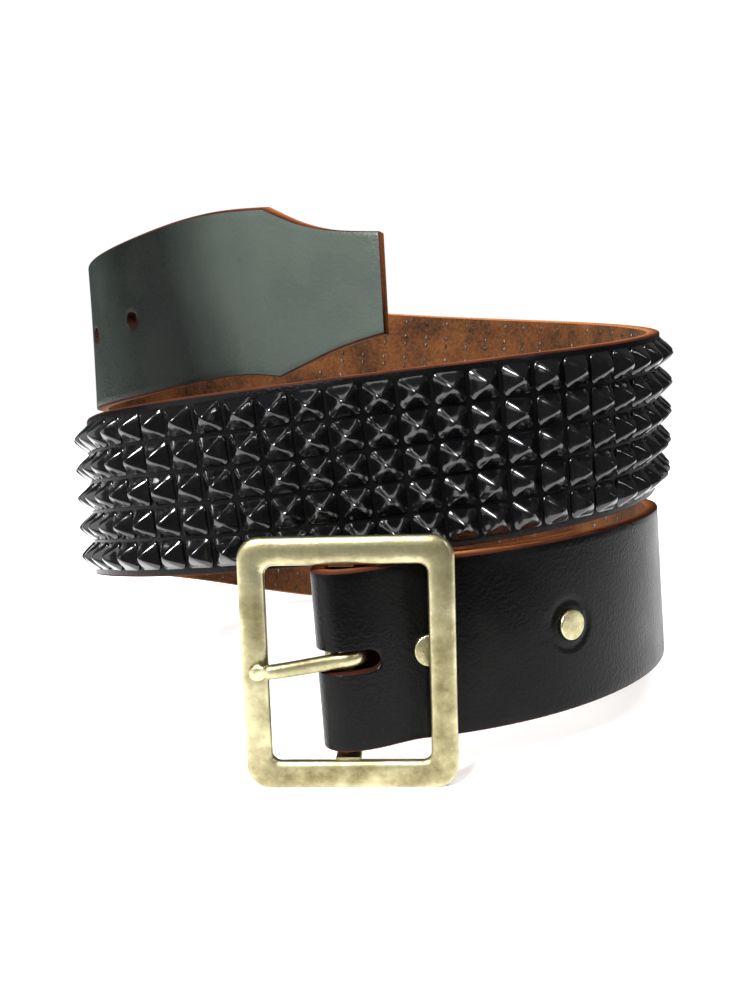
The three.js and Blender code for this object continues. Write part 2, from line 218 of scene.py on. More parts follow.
STUD_RINGS = (
    StudRing(1.0, 0.0),
    StudRing(1.0, 0.06),
    StudRing(0.94, 0.11),
    StudRing(0.85, 0.19),
    StudRing(0.75, 0.31),
    StudRing(0.62, 0.47),
    StudRing(0.47, 0.64),
    StudRing(0.33, 0.78),
    StudRing(0.21, 0.89),
    StudRing(0.11, 0.96),
    StudRing(0.04, 0.993),
)


@dataclass(frozen=True)
class PaintedReflectionStop:
    """The painted reflection's share of the grain's colour at a distance from the free end."""

    distance: float
    share: float


# Painted reflection: how much grey green stands in for mirrored light along the free end.
PAINTED_REFLECTION_STOPS = (
    PaintedReflectionStop(0.0, 0.8),
    PaintedReflectionStop(36 * MM, 0.86),
    PaintedReflectionStop(47 * MM, 0.7),
    PaintedReflectionStop(58 * MM, 0.3),
    PaintedReflectionStop(70 * MM, 0.07),
    PaintedReflectionStop(90 * MM, 0.1),
    PaintedReflectionStop(104 * MM, 0.28),
    PaintedReflectionStop(130 * MM, 0.3),
    PaintedReflectionStop(190 * MM, 0.0),
)


@dataclass(frozen=True)
class ProngRow:
    """One cross section of a clinched prong; place and width are shares, the rise is a height."""

    place: float
    width: float
    rise: float


PRONG_ROWS = (
    ProngRow(-1.0, 0.6, -0.2 * MM),
    ProngRow(-0.6, 1.0, 0.35 * MM),
    ProngRow(0.0, 0.9, 0.45 * MM),
    ProngRow(0.6, 0.6, 0.25 * MM),
    ProngRow(1.0, 0.25, -0.2 * MM),
)


@dataclass
class BeltSizes:
    """Sizes that the whole belt shares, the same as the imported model's."""

    strap_width: float = 44.5 * MM
    strap_thickness: float = 3.6 * MM
    strap_length: float = 1078.8 * MM
    return_length: float = 70 * MM
    layer_gap: float = 0.3 * MM
    coil_reach: float = 88 * MM
    fold_blend_angle: float = 12.0
    fold_inner_radius: float = 3.4 * MM
    tip_taper_length: float = 34 * MM
    tip_end_width: float = 25.2 * MM
    tip_side_hollow: float = 1.6 * MM
    stud_pitch: float = 8.3 * MM
    stud_rows: int = 5
    stud_columns: int = 84
    stud_height: float = 3.9 * MM
    field_start: float = 154.5 * MM
    hole_count: int = 5
    hole_diameter: float = 5 * MM
    hole_pitch: float = 25 * MM
    hole_from_end: float = 89.3 * MM
    slot_height: float = 5.8 * MM
    slot_reach: float = 8.8 * MM
    frame_width: float = 51.6 * MM
    frame_height: float = 62.5 * MM
    side_bar_width: float = 6.5 * MM
    cross_bar_width: float = 7 * MM
    frame_thickness: float = 3.2 * MM
    frame_corner_radius: float = 5.5 * MM
    frame_window_radius: float = 2.2 * MM
    frame_yaw: float = -4.2
    frame_reach: float = 92.5 * MM
    bar_diameter: float = 3.6 * MM
    bar_angle: float = -95.5
    bar_set_back: float = 4 * MM
    bar_offset: float = 1 * MM
    lug_width: float = 6 * MM
    lug_bite: float = 0.9 * MM
    lug_step: float = 0.5 * MM
    tongue_width: float = 3.8 * MM
    tongue_thickness: float = 2.8 * MM
    tongue_eye_clearance: float = 1.2 * MM
    tongue_eye_wrap: float = 250.0
    tongue_reach: float = 24 * MM
    tongue_tilt: float = 6.0
    rivet_first: float = 21.8 * MM
    rivet_pitch: float = 38.6 * MM
    rivet_head_diameter: float = 8 * MM
    rivet_head_height: float = 1 * MM
    rivet_post_diameter: float = 3 * MM

    @property
    def fold_middle_radius(self) -> float:
        """Radius of the fold round the bar, at the middle of the leather."""
        return self.fold_inner_radius + self.strap_thickness / 2

    @property
    def layer_pitch(self) -> float:
        """Distance between the middles of the strap and its return layer."""
        return self.strap_thickness + self.layer_gap

    @property
    def rivets(self) -> tuple[float, float]:
        """Distances of the two rivets from the bar."""
        return (self.rivet_first, self.rivet_first + self.rivet_pitch)

    @property
    def holes(self) -> list[float]:
        """Distances of the punched holes from the bar."""
        last = self.strap_length - self.hole_from_end
        return [last - i * self.hole_pitch for i in range(self.hole_count)]


def smooth_column(xs: np.ndarray, ys: np.ndarray) -> Callable[[np.ndarray], np.ndarray]:
    """Fit a smooth curve through a table's values, with no bend at its two ends.

    Args:
        xs: Rising places of the values.
        ys: The values.

    Returns:
        A function that gives the curve's value at any places.
    """
    gaps = np.diff(xs)
    count = len(xs)
    system = np.eye(count)
    turns = np.zeros(count)
    for i in range(1, count - 1):
        system[i, i - 1:i + 2] = gaps[i - 1], 2 * (gaps[i - 1] + gaps[i]), gaps[i]
        turns[i] = 6 * ((ys[i + 1] - ys[i]) / gaps[i] - (ys[i] - ys[i - 1]) / gaps[i - 1])
    bend = np.linalg.solve(system, turns)

    def curve(x: np.ndarray) -> np.ndarray:
        """Give the curve's value at places x.

        Args:
            x: The places.

        Returns:
            The values.
        """
        i = np.clip(np.searchsorted(xs, x) - 1, 0, count - 2)
        span = gaps[i]
        a = (xs[i + 1] - x) / span
        b = (x - xs[i]) / span
        swell = ((a ** 3 - a) * bend[i] + (b ** 3 - b) * bend[i + 1]) * span * span / 6
        return a * ys[i] + b * ys[i + 1] + swell

    return curve


@dataclass
class Stations:
    """Places along the strap, each with its directions along, out of and across the leather."""

    middle: np.ndarray
    along: np.ndarray
    out: np.ndarray
    across: np.ndarray


class Roll:
    """The course of the strap round the roll, in the frame's own place."""

    slope_step = 0.05
    table_step = 0.25
    table_margin = 20

    def __init__(self, sizes: BeltSizes, bar: Sequence[float], floor: float) -> None:
        """Work out the course.

        Args:
            sizes: The belt's sizes.
            bar: Place of the buckle's bar in the frame, seen from above.
            floor: Height of the buckle frame's lower edge.
        """
        self.sizes = sizes
        angles = np.array([row.angle for row in COURSE], float)
        self.reach_at = smooth_column(angles, np.array([row.reach for row in COURSE]))
        self.rise_at = smooth_column(angles, np.array([row.rise for row in COURSE]))
        self.lean_at = smooth_column(angles, np.array([row.lean for row in COURSE]))
        self.bar_reach = sizes.frame_reach - sizes.bar_set_back
        turn = math.radians(sizes.bar_angle)
        self.shift = np.array([
            bar[0] - self.bar_reach * math.cos(turn),
            bar[1] - self.bar_reach * math.sin(turn),
            floor,
        ])
        yaw = math.radians(sizes.frame_yaw)
        self.frame_along = np.array([math.cos(yaw), math.sin(yaw), 0.0])
        self.frame_out = np.array([math.sin(yaw), -math.cos(yaw), 0.0])
        self.up = np.array([0.0, 0.0, 1.0])
        self.bar_place = np.array([bar[0], bar[1], floor + sizes.frame_height / 2])
        self.frame_place = (self.bar_place + self.frame_out * sizes.bar_set_back
                            + self.frame_along * sizes.bar_offset)
        self.table_angle = np.arange(sizes.bar_angle, COURSE[-1].angle + self.table_margin,
                                     self.table_step)
        middle = self.stations(self.table_angle, Layer.MAIN).middle
        steps = np.linalg.norm(np.diff(middle, axis=0), axis=1)
        self.table_length = np.concatenate([[0.0], np.cumsum(steps)])

    def reach(self, angle: np.ndarray, layer: Layer) -> np.ndarray:
        """Give the distance of a layer's middle from the roll's axis at angles in degrees.

        Args:
            angle: Angles round the roll.
            layer: Layer of the strap.

        Returns:
            The distances.
        """
        sizes = self.sizes
        t = np.clip((angle - sizes.bar_angle) / sizes.fold_blend_angle, 0, 1)
        swell = 1 - t * t * (3 - 2 * t)
        usual = sizes.coil_reach * self.reach_at(angle)
        if layer is Layer.MAIN:
            return usual + (self.bar_reach + sizes.fold_middle_radius - usual) * swell
        usual = usual - sizes.layer_pitch
        return usual + (self.bar_reach - sizes.fold_middle_radius - usual) * swell

    def places(self, angle: np.ndarray, layer: Layer) -> np.ndarray:
        """Give the places of a layer's middle at angles in degrees.

        Args:
            angle: Angles round the roll.
            layer: Layer of the strap.

        Returns:
            The places.
        """
        turn = np.radians(angle)
        reach = self.reach(angle, layer)
        rise = self.sizes.strap_width * self.rise_at(angle)
        return np.stack([reach * np.cos(turn), reach * np.sin(turn), rise], -1) + self.shift

    def stations(self, angle: np.ndarray, layer: Layer) -> Stations:
        """Give the strap's stations at angles in degrees.

        Args:
            angle: Angles round the roll.
            layer: The main strap or its return layer.

        Returns:
            The stations.
        """
        angle = np.asarray(angle, float)
        along = (self.places(angle + self.slope_step, layer)
                 - self.places(angle - self.slope_step, layer))
        along /= np.linalg.norm(along, axis=-1, keepdims=True)
        level = np.stack([along[:, 1], -along[:, 0], np.zeros(len(along))], -1)
        level /= np.linalg.norm(level, axis=-1, keepdims=True)
        upright = np.cross(level, along)
        lean = np.radians(self.lean_at(angle))[:, None]
        out = level * np.cos(lean) - upright * np.sin(lean)
        across = upright * np.cos(lean) + level * np.sin(lean)
        return Stations(self.places(angle, layer), along, out, across)

    def angle_at(self, distance: np.ndarray) -> np.ndarray:
        """Give the angles at distances from the bar along the strap."""
        return np.interp(distance, self.table_length, self.table_angle)

    def main(self, distance: np.ndarray) -> Stations:
        """Give the main strap's stations at distances from the bar."""
        return self.stations(self.angle_at(np.atleast_1d(np.asarray(distance, float))), Layer.MAIN)


def new_object(name: str, points: np.ndarray, faces: Sequence[Sequence[int]],
               materials: Sequence[bpy.types.Material] = (),
               smooth: bool = True) -> bpy.types.Object:
    """Make a mesh object at the origin and link it to the scene.

    Args:
        name: Name of the object.
        points: Places of its vertices.
        faces: Vertex numbers of each face, turning left seen from outside.
        materials: Materials for its slots.
        smooth: Whether faces are shaded smooth.

    Returns:
        The object.
    """
    mesh = bpy.data.meshes.new(name)
    mesh.from_pydata([tuple(p) for p in points], [], [tuple(f) for f in faces])
    for material in materials:
        mesh.materials.append(material)
    if smooth:
        mesh.shade_smooth()
    mesh.update()
    made = bpy.data.objects.new(name, mesh)
    bpy.context.scene.collection.objects.link(made)
    return made


def ring_faces(rings: int, count: int, closed: bool = False) -> list[tuple[int, ...]]:
    """Give the quads between rings of points, and caps where the run is open.

    Args:
        rings: How many rings there are.
        count: Points in each ring.
        closed: Whether the last ring joins the first one.

    Returns:
        Vertex numbers of the faces.
    """
    faces = []
    for r in range(rings if closed else rings - 1):
        for k in range(count):
            a = r * count + k
            b = r * count + (k + 1) % count
            c = (r + 1) % rings * count
            faces.append((a, b, c + (k + 1) % count, c + k))
    if not closed:
        faces.append(tuple(range(count - 1, -1, -1)))
        faces.append(tuple((rings - 1) * count + k for k in range(count)))
    return faces


def rounded(turn: np.ndarray, power: float) -> tuple[np.ndarray, np.ndarray]:
    """Give the two coordinates of a round outline, squarer as the power falls below one.

    Args:
        turn: Angles round the outline.
        power: One gives a circle.

    Returns:
        The two coordinates.
    """
    wide = np.sign(np.cos(turn)) * np.abs(np.cos(turn)) ** power
    deep = np.sign(np.sin(turn)) * np.abs(np.sin(turn)) ** power
    return wide, deep


def made_plain(source: bpy.types.Object) -> bpy.types.Object:
    """Turn an object's evaluated result into its plain mesh and drop its modifiers.

    Args:
        source: Object whose modifiers give the result.

    Returns:
        The same object, with the plain mesh.
    """
    bpy.context.view_layer.update()
    graph = bpy.context.evaluated_depsgraph_get()
    result = bpy.data.meshes.new_from_object(source.evaluated_get(graph))
    source.modifiers.clear()
    old = source.data
    source.data = result
    result.name = source.name
    if old.users == 0:
        bpy.data.meshes.remove(old)
    return source


def store_values(mesh: bpy.types.Mesh, name: str, values: np.ndarray) -> None:
    """Store one number for each vertex as a named attribute.

    Args:
        mesh: Mesh that gets it.
        name: Its name.
        values: The numbers.
    """
    layer = mesh.attributes.new(name, "FLOAT", "POINT")
    layer.data.foreach_set("value", np.asarray(values, np.float32))


def store_map(mesh: bpy.types.Mesh, name: str, pairs: np.ndarray) -> None:
    """Store a pair of numbers for each vertex as a named UV map.

    Args:
        mesh: Mesh that gets it.
        name: Its name.
        pairs: The pairs.
    """
    layer = mesh.uv_layers.new(name=name)
    loops = np.zeros(len(mesh.loops), np.int32)
    mesh.loops.foreach_get("vertex_index", loops)
    layer.data.foreach_set("uv", np.asarray(pairs, np.float32)[loops].ravel())


@dataclass(frozen=True)
class GrainLeather:
    """Bridle leather, drum dyed black and lightly waxed.

    The dye hides the hide's own colour, and the fine pebbled grain breaks a soft sheen. A grey
    green painted reflection lightens the free end, where the leather looks paler.
    """

    colour: str = "#040404"
    worn_colour: str = "#0a0a09"
    # Grey green that is painted in as the reflection near the free end.
    bloom_colour: str = "#3f4741"
    roughness: float = 0.3
    roughness_spread: tuple[float, float] = (-0.06, 0.08)
    gloss: float = 0.06
    wax: float = 0.06
    wax_roughness: float = 0.2
    pebble: float = 0.9 * MM
    pebble_depth: float = 0.12 * MM
    pore: float = 0.35 * MM
    pore_depth: float = 0.1 * MM
    clouds_per_metre: float = 60.0

    def material(self) -> bpy.types.Material:
        """Build the grain side's material.

        Returns:
            The material.
        """
        material, shader, node, place = start_material("black_bridle_grain", {
            "Specular IOR Level": self.gloss, "Coat Weight": self.wax,
            "Coat Roughness": self.wax_roughness})
        at = {"Vector": place}
        pebbles = node("ShaderNodeTexVoronoi", {"Scale": 1 / self.pebble, "Randomness": 1.0}, at)
        pores = node("ShaderNodeTexNoise", {"Scale": 1 / self.pore, "Detail": 3.0}, at)
        cloud = node("ShaderNodeTexNoise", {"Scale": self.clouds_per_metre, "Detail": 4.0}, at)
        worn = node("ShaderNodeValToRGB", {"stops": [
            (0.45, linear(self.colour)), (0.75, linear(self.worn_colour))]}, {"Fac": cloud})
        # Painted reflection: grey green mixed into the grain near the free end, in place of
        # mirrored light.
        bloom = node("ShaderNodeAttribute", {"attribute_name": "bloom"}).outputs["Fac"]
        cast = node("ShaderNodeMath", {"operation": "MULTIPLY_ADD", 1: 0.5, 2: 0.75}, {0: cloud})
        share = node("ShaderNodeMath", {"operation": "MULTIPLY", "use_clamp": True},
                     {0: bloom, 1: cast})
        with_painted_reflection = node("ShaderNodeMix", {"data_type": "RGBA", "B": linear(self.bloom_colour)},
                    {0: share, 6: worn})
        rough = node("ShaderNodeMapRange", {"From Min": 0.3, "From Max": 0.7,
                     "To Min": self.roughness + self.roughness_spread[0],
                     "To Max": self.roughness + self.roughness_spread[1]}, {"Value": cloud})
        low = node("ShaderNodeBump", {"Strength": 0.55, "Distance": self.pebble_depth},
                   {"Height": pebbles})
        fine = node("ShaderNodeBump", {"Strength": 0.5, "Distance": self.pore_depth},
                    {"Height": pores, "Normal": low})
        feed(shader, {"Base Color": with_painted_reflection.outputs[2], "Roughness": rough, "Normal": fine})
        return material


@dataclass(frozen=True)
class CutEdge:
    """Raw cut edge of the hide, dyed where the grain's black ran in, tan towards the flesh."""

    grain_colour: str = "#2c120b"
    middle_colour: str = "#5e2d18"
    flesh_colour: str = "#9c6134"
    roughness: float = 0.75
    gloss: float = 0.1
    fibre: float = 0.5 * MM
    fibre_depth: float = 0.3 * MM
    patches_per_metre: float = 90.0

    def material(self) -> bpy.types.Material:
        """Build the cut edge's material.

        Returns:
            The material.
        """
        material, shader, node, place = start_material("raw_cut_edge", {
            "Roughness": self.roughness, "Specular IOR Level": self.gloss})
        at = {"Vector": place}
        depth = node("ShaderNodeAttribute", {"attribute_name": "depth"}).outputs["Fac"]
        fibres = node("ShaderNodeTexNoise", {"Scale": 1 / self.fibre, "Detail": 4.0}, at)
        patches = node("ShaderNodeTexNoise", {"Scale": self.patches_per_metre, "Detail": 3.0}, at)
        wander = node("ShaderNodeMath", {"operation": "MULTIPLY_ADD", 1: 0.35, 2: -0.17},
                      {0: patches})
        level = node("ShaderNodeMath", {"operation": "ADD"}, {0: depth, 1: wander})
        tone = node("ShaderNodeValToRGB", {"stops": [
            (0.0, linear(self.grain_colour)), (0.3, linear(self.middle_colour)),
            (1.0, linear(self.flesh_colour))]}, {"Fac": level})
        speck = node("ShaderNodeValToRGB", {"stops": [(0.3, grey(0.6)), (0.7, grey(1.0))]},
                     {"Fac": fibres})
        mixed = node("ShaderNodeMix", {"data_type": "RGBA", "blend_type": "MULTIPLY",
                     "Factor": 1.0}, {6: tone, 7: speck})
        rough = node("ShaderNodeBump", {"Strength": 0.8, "Distance": self.fibre_depth},
                     {"Height": fibres})
        feed(shader, {"Base Color": mixed.outputs[2], "Normal": rough})
        return material


@dataclass(frozen=True)
class FleshSide:
    """Flesh side of the hide, dyed mid brown, with loose short nap that scatters the light."""

    dark_colour: str = "#1f1107"
    light_colour: str = "#61391a"
    roughness: float = 0.85
    gloss: float = 0.15
    nap_sheen: float = 0.02
    nap: float = 1.2 * MM
    nap_depth: float = 0.35 * MM
    stains_per_metre: float = 70.0

    def material(self) -> bpy.types.Material:
        """Build the flesh side's material.

        Returns:
            The material.
        """
        material, shader, node, place = start_material("brown_flesh_side", {
            "Roughness": self.roughness, "Sheen Weight": self.nap_sheen,
            "Specular IOR Level": self.gloss})
        at = {"Vector": place}
        nap = node("ShaderNodeTexNoise", {"Scale": 1 / self.nap, "Detail": 6.0,
                   "Roughness": 0.7}, at)
        stains = node("ShaderNodeTexNoise", {"Scale": self.stains_per_metre, "Detail": 3.0}, at)
        both = node("ShaderNodeMix", {"data_type": "FLOAT", "Factor": 0.5}, {2: nap, 3: stains})
        tone = node("ShaderNodeValToRGB", {"stops": [
            (0.36, linear(self.dark_colour)), (0.64, linear(self.light_colour))]}, {"Fac": both})
        bump = node("ShaderNodeBump", {"Strength": 0.9, "Distance": self.nap_depth},
                    {"Height": nap})
        feed(shader, {"Base Color": tone, "Normal": bump})
        return material


@dataclass(frozen=True)
class StudEnamel:
    """Pressed steel under black stoving enamel, which pools smooth and gives small sharp lights."""

    colour: str = "#060607"
    roughness: float = 0.14
    gloss: float = 0.3
    lacquer: float = 0.5
    lacquer_roughness: float = 0.07
    dulling: float = 0.14
    dust: float = 2.5 * MM
    ripple_depth: float = 0.15 * MM

    def material(self) -> bpy.types.Material:
        """Build the studs' material.

        Returns:
            The material.
        """
        material, shader, node, place = start_material("black_stove_enamel", {
            "Base Color": linear(self.colour), "Specular IOR Level": self.gloss,
            "Coat Weight": self.lacquer, "Coat Roughness": self.lacquer_roughness})
        cloud = node("ShaderNodeTexNoise", {"Scale": 1 / self.dust, "Detail": 4.0},
                     {"Vector": place})
        rough = node("ShaderNodeMapRange", {"From Min": 0.3, "From Max": 0.75,
                     "To Min": self.roughness, "To Max": self.roughness + self.dulling},
                     {"Value": cloud})
        bump = node("ShaderNodeBump", {"Strength": 0.12, "Distance": self.ripple_depth},
                    {"Height": cloud})
        feed(shader, {"Roughness": rough, "Normal": bump})
        return material


@dataclass(frozen=True)
class AntiqueMetal:
    """Zinc casting plated with antique brass and tumbled: pale on the edges, brown in the lows."""

    name: str = "tumbled_antique_brass"
    bright_colour: str = "#b6af8d"
    middle_colour: str = "#867f5f"
    tarnish_colour: str = "#675f43"
    roughness: float = 0.36
    blotch: float = 8 * MM
    scratch: float = 0.6 * MM
    dent_depth: float = 0.25 * MM
    scratch_depth: float = 0.08 * MM
    edge_shine: float = 0.22
    roughness_spread: tuple[float, float] = (0.14, -0.08)

    def material(self) -> bpy.types.Material:
        """Build the metal.

        Returns:
            The material.
        """
        material, shader, node, place = start_material(self.name, {"Metallic": 1.0})
        at = {"Vector": place}
        blotches = node("ShaderNodeTexNoise", {"Scale": 1 / self.blotch, "Detail": 5.0,
                        "Roughness": 0.65}, at)
        pits = node("ShaderNodeTexNoise", {"Scale": 1 / self.scratch, "Detail": 3.0}, at)
        wear = node("ShaderNodeAttribute", {"attribute_name": "wear"}).outputs["Fac"]
        lift = node("ShaderNodeMath", {"operation": "MULTIPLY_ADD", 1: self.edge_shine},
                    {0: wear, 2: blotches})
        tone = node("ShaderNodeValToRGB", {"stops": [
            (0.34, linear(self.tarnish_colour)), (0.5, linear(self.middle_colour)),
            (0.78, linear(self.bright_colour))]}, {"Fac": lift})
        rough = node("ShaderNodeMapRange", {"From Min": 0.35, "From Max": 0.8,
                     "To Min": self.roughness + self.roughness_spread[0],
                     "To Max": self.roughness + self.roughness_spread[1]}, {"Value": lift})
        dents = node("ShaderNodeBump", {"Strength": 0.35, "Distance": self.dent_depth},
                     {"Height": blotches})
        fine = node("ShaderNodeBump", {"Strength": 0.6, "Distance": self.scratch_depth},
                    {"Height": pits, "Normal": dents})
        feed(shader, {"Base Color": tone, "Roughness": rough, "Normal": fine})
        return material


@dataclass
class Strap:
    """The leather band: return layer, fold, long run and tip, with its slot and holes."""

    roll: Roll
    coarse_step: float = 2.2 * MM
    fine_step: float = 0.5 * MM
    dent_radius: float = 6.2 * MM
    dent_width: float = 0.8 * MM
    dent_depth: float = 0.35 * MM
    hole_rim_depth: float = 0.2 * MM
    return_slot_short: float = 4.5 * MM
    cutter_overlap: float = 0.4 * MM
    edge_round: float = 0.55 * MM
    hole_rim_width: float = 0.7 * MM
    rivet_zone: float = 8 * MM
    hole_zone: float = 3.6 * MM
    tip_zone: float = 2 * MM
    dense_points: int = 27
    side_points: int = 8
    rim_points: int = 7
    rim_fullness: float = 0.7
    cut_tone: float = 0.8
    fold_steps: int = 44
    bit_sides: int = 40
    slot_steps: int = 17
    grain: GrainLeather = field(default_factory=GrainLeather)
    edge: CutEdge = field(default_factory=CutEdge)
    flesh: FleshSide = field(default_factory=FleshSide)

    def distances(self) -> np.ndarray:
        """Give the stations' distances, finer round the rivets, the holes and the tip.

        Returns:
            Distances from the bar.
        """
        sizes = self.roll.sizes
        zones = [(d - self.rivet_zone, d + self.rivet_zone) for d in sizes.rivets]
        zones += [(d - self.hole_zone, d + self.hole_zone) for d in sizes.holes]
        zones.append((sizes.strap_length - sizes.tip_taper_length - self.tip_zone,
                      sizes.strap_length))
        stops = [0.0]
        while stops[-1] < sizes.strap_length:
            here = stops[-1]
            fine = any(low <= here < high for low, high in zones)
            stops.append(here + (self.fine_step if fine else self.coarse_step))
        stops[-1] = sizes.strap_length
        return np.array(stops)

    def half_width(self, distance: np.ndarray) -> np.ndarray:
        """Give half the strap's width at distances from the bar.

        Args:
            distance: The distances.

        Returns:
            The half widths.
        """
        sizes = self.roll.sizes
        t = (distance - (sizes.strap_length - sizes.tip_taper_length)) / sizes.tip_taper_length
        t = np.clip(t, 0, 1)
        slope = (sizes.strap_width - sizes.tip_end_width) / 2
        return sizes.strap_width / 2 - t * slope - sizes.tip_side_hollow * np.sin(math.pi * t)

    def section(self) -> tuple[np.ndarray, np.ndarray, np.ndarray]:
        """Give the section's outline.

        Returns:
            Shares of the half width, shares of the half thickness, and the side of each stretch:
            0 grain, 1 edge, 2 flesh.
        """
        sizes = self.roll.sizes
        half = sizes.strap_width / 2
        inner = 1 - self.edge_round / half
        dense = np.linspace(-self.rivet_zone, self.rivet_zone, self.dense_points) / half
        side = np.linspace(self.rivet_zone / half, inner, self.side_points)[1:]
        grain = np.concatenate([-side[::-1], dense, side])[::-1]
        rim_turn = np.linspace(0, math.pi, self.rim_points)[1:-1]
        rim_wide = inner + (1 - inner) * np.sin(rim_turn) ** self.rim_fullness
        rim_deep = np.sign(np.cos(rim_turn)) * np.sqrt(np.abs(np.cos(rim_turn)))
        wide = np.concatenate([grain, -rim_wide, grain[::-1], rim_wide])
        deep = np.concatenate([np.ones(len(grain)), rim_deep, -np.ones(len(grain)), -rim_deep])
        kinds = np.concatenate([
            np.full(len(grain) - 1, 0), np.full(len(rim_wide) + 1, 1),
            np.full(len(grain) - 1, 2), np.full(len(rim_wide) + 1, 1)])
        return wide, deep, kinds

    def relief(self, distance: np.ndarray, across: np.ndarray) -> np.ndarray:
        """Give how far the grain side is pressed in round the far rivet and the holes.

        Args:
            distance: Distances from the bar.
            across: Places across the strap.

        Returns:
            Offsets along the outward direction.
        """
        press = np.zeros(np.broadcast(distance, across).shape)
        for place in self.roll.sizes.rivets[1:]:
            ring = np.hypot(distance - place, across)
            press -= self.dent_depth * np.exp(-((ring - self.dent_radius) / self.dent_width) ** 2)
        for place in self.roll.sizes.holes:
            rim = np.maximum(np.hypot(distance - place, across)
                             - self.roll.sizes.hole_diameter / 2, 0)
            press -= self.hole_rim_depth * np.exp(-(rim / self.hole_rim_width) ** 2)
        return press

    def run(self) -> tuple[Stations, np.ndarray]:
        """Give all stations from the return layer's end to the tip, with their distances.

        Distances are negative on the return layer and the fold.

        Returns:
            The stations and their distances.
        """
        sizes = self.roll.sizes
        back = np.arange(sizes.return_length, self.coarse_step / 2, -self.coarse_step)
        layer = self.roll.stations(self.roll.angle_at(back), Layer.RETURN)
        start = self.roll.main(0.0)
        radius = sizes.fold_middle_radius
        centre = start.middle[0] - start.out[0] * radius
        turns = math.pi * (1 - np.arange(self.fold_steps) / self.fold_steps)
        fold_out = (np.cos(turns)[:, None] * start.out[0] - np.sin(turns)[:, None] * start.along[0])
        fold_across = np.repeat(start.across, self.fold_steps, 0)
        main_at = self.distances()
        main = self.roll.main(main_at)
        stations = Stations(
            np.concatenate([layer.middle, centre + fold_out * radius, main.middle]),
            np.concatenate([-layer.along, np.cross(fold_out, fold_across), main.along]),
            np.concatenate([-layer.out, fold_out, main.out]),
            np.concatenate([layer.across, fold_across, main.across]))
        fold_at = -radius * turns
        distance = np.concatenate([fold_at[0] - back, fold_at, main_at])
        return stations, distance

    def build(self) -> bpy.types.Object:
        """Build the strap's mesh with its slot and holes, and dress it.

        Returns:
            The strap.
        """
        sizes = self.roll.sizes
        stations, distance = self.run()
        wide, deep, kinds = self.section()
        half = self.half_width(distance)[:, None] * wide[None, :]
        grain_side = np.isclose(deep, 1.0)
        press = np.where(grain_side[None, :], self.relief(distance[:, None], half), 0.0)
        depth = sizes.strap_thickness / 2 * deep[None, :] + press
        points = (stations.middle[:, None] + stations.out[:, None] * depth[..., None]
                  + stations.across[:, None] * half[..., None])
        count = len(wide)
        rings = len(distance)
        faces = ring_faces(rings, count)
        materials = [self.grain.material(), self.edge.material(), self.flesh.material()]
        strap = new_object("strap_leather", points.reshape(-1, 3), faces, materials)
        slots = np.concatenate([np.tile(kinds, rings - 1), [1, 1]]).astype(np.int32)
        strap.data.polygons.foreach_set("material_index", slots)
        store_map(strap.data, "leather_map",
                  np.stack([np.repeat(distance, count), half.ravel()], -1))
        store_values(strap.data, "depth", np.tile((1 - deep) / 2, rings))
        # Painted reflection: share of grey green on the grain, by distance from the free end.
        bloom = np.interp(sizes.strap_length - distance, [stop.distance for stop in PAINTED_REFLECTION_STOPS],
                          [stop.share for stop in PAINTED_REFLECTION_STOPS])
        store_values(strap.data, "bloom", np.repeat(bloom, count))
        self.cut(strap)
        return strap

    def cut(self, strap: bpy.types.Object) -> None:
        """Cut the slot, the rivet holes and the punched holes out of the strap.

        Args:
            strap: The uncut strap.
        """
        sizes = self.roll.sizes
        cutters = [self.slot_cutter(1, sizes.slot_reach),
                   self.slot_cutter(-1, sizes.slot_reach - self.return_slot_short)]
        for place in sizes.rivets:
            cutters.append(self.bit(place, sizes.rivet_post_diameter / 2, 4 * sizes.layer_pitch))
        for place in sizes.holes:
            cutters.append(self.bit(place, sizes.hole_diameter / 2, 2 * sizes.strap_thickness))
        for cutter in cutters:
            cutter.data.materials.append(strap.data.materials[1])
            store_values(cutter.data, "depth", np.full(len(cutter.data.vertices), self.cut_tone))
            knife = strap.modifiers.new("cut", "BOOLEAN")
            knife.operation = "DIFFERENCE"
            knife.solver = "EXACT"
            knife.material_mode = "TRANSFER"
            knife.object = cutter
        made_plain(strap)
        for cutter in cutters:
            bpy.data.objects.remove(cutter)

    def bit(self, distance: float, radius: float, length: float) -> bpy.types.Object:
        """Make a round cutter through the strap at a distance from the bar.

        Args:
            distance: Distance from the bar.
            radius: Radius of the hole.
            length: Length of the cutter.

        Returns:
            The cutter.
        """
        spot = self.roll.main(distance)
        turn = np.linspace(0, 2 * math.pi, self.bit_sides, endpoint=False)[:, None]
        circle = radius * (np.cos(turn) * spot.along + np.sin(turn) * spot.across)
        ends = [spot.middle[0] + side * spot.out[0] * length / 2 for side in (-1, 1)]
        points = np.concatenate([circle + end for end in ends])
        return new_object("strap_bit", points, ring_faces(2, self.bit_sides), smooth=False)

    def slot_cutter(self, side: int, reach: float) -> bpy.types.Object:
        """Make the round-ended cutter of the tongue's slot in one of the two layers.

        Args:
            side: 1 for the front layer, -1 for the layer behind it.
            reach: How far the slot reaches past the bar.

        Returns:
            The cutter, standing on the fold's middle plane.
        """
        sizes = self.roll.sizes
        start = self.roll.main(0.0)
        half = sizes.slot_height / 2
        free = sizes.fold_middle_radius + sizes.strap_thickness
        turn = np.linspace(-math.pi / 2, math.pi / 2, self.slot_steps)
        outline = [(-free, -half)]
        outline += [(reach - half + half * math.cos(a), half * math.sin(a)) for a in turn]
        outline.append((-free, half))
        centre = start.middle[0] - start.out[0] * sizes.fold_middle_radius
        depths = sorted([-side * self.cutter_overlap, side * (free + sizes.strap_thickness)])
        points = [centre + x * start.along[0] + y * start.across[0] + depth * start.out[0]
                  for depth in depths for x, y in outline]
        return new_object("slot_cutter", np.array(points), ring_faces(2, len(outline)),
                          smooth=False)


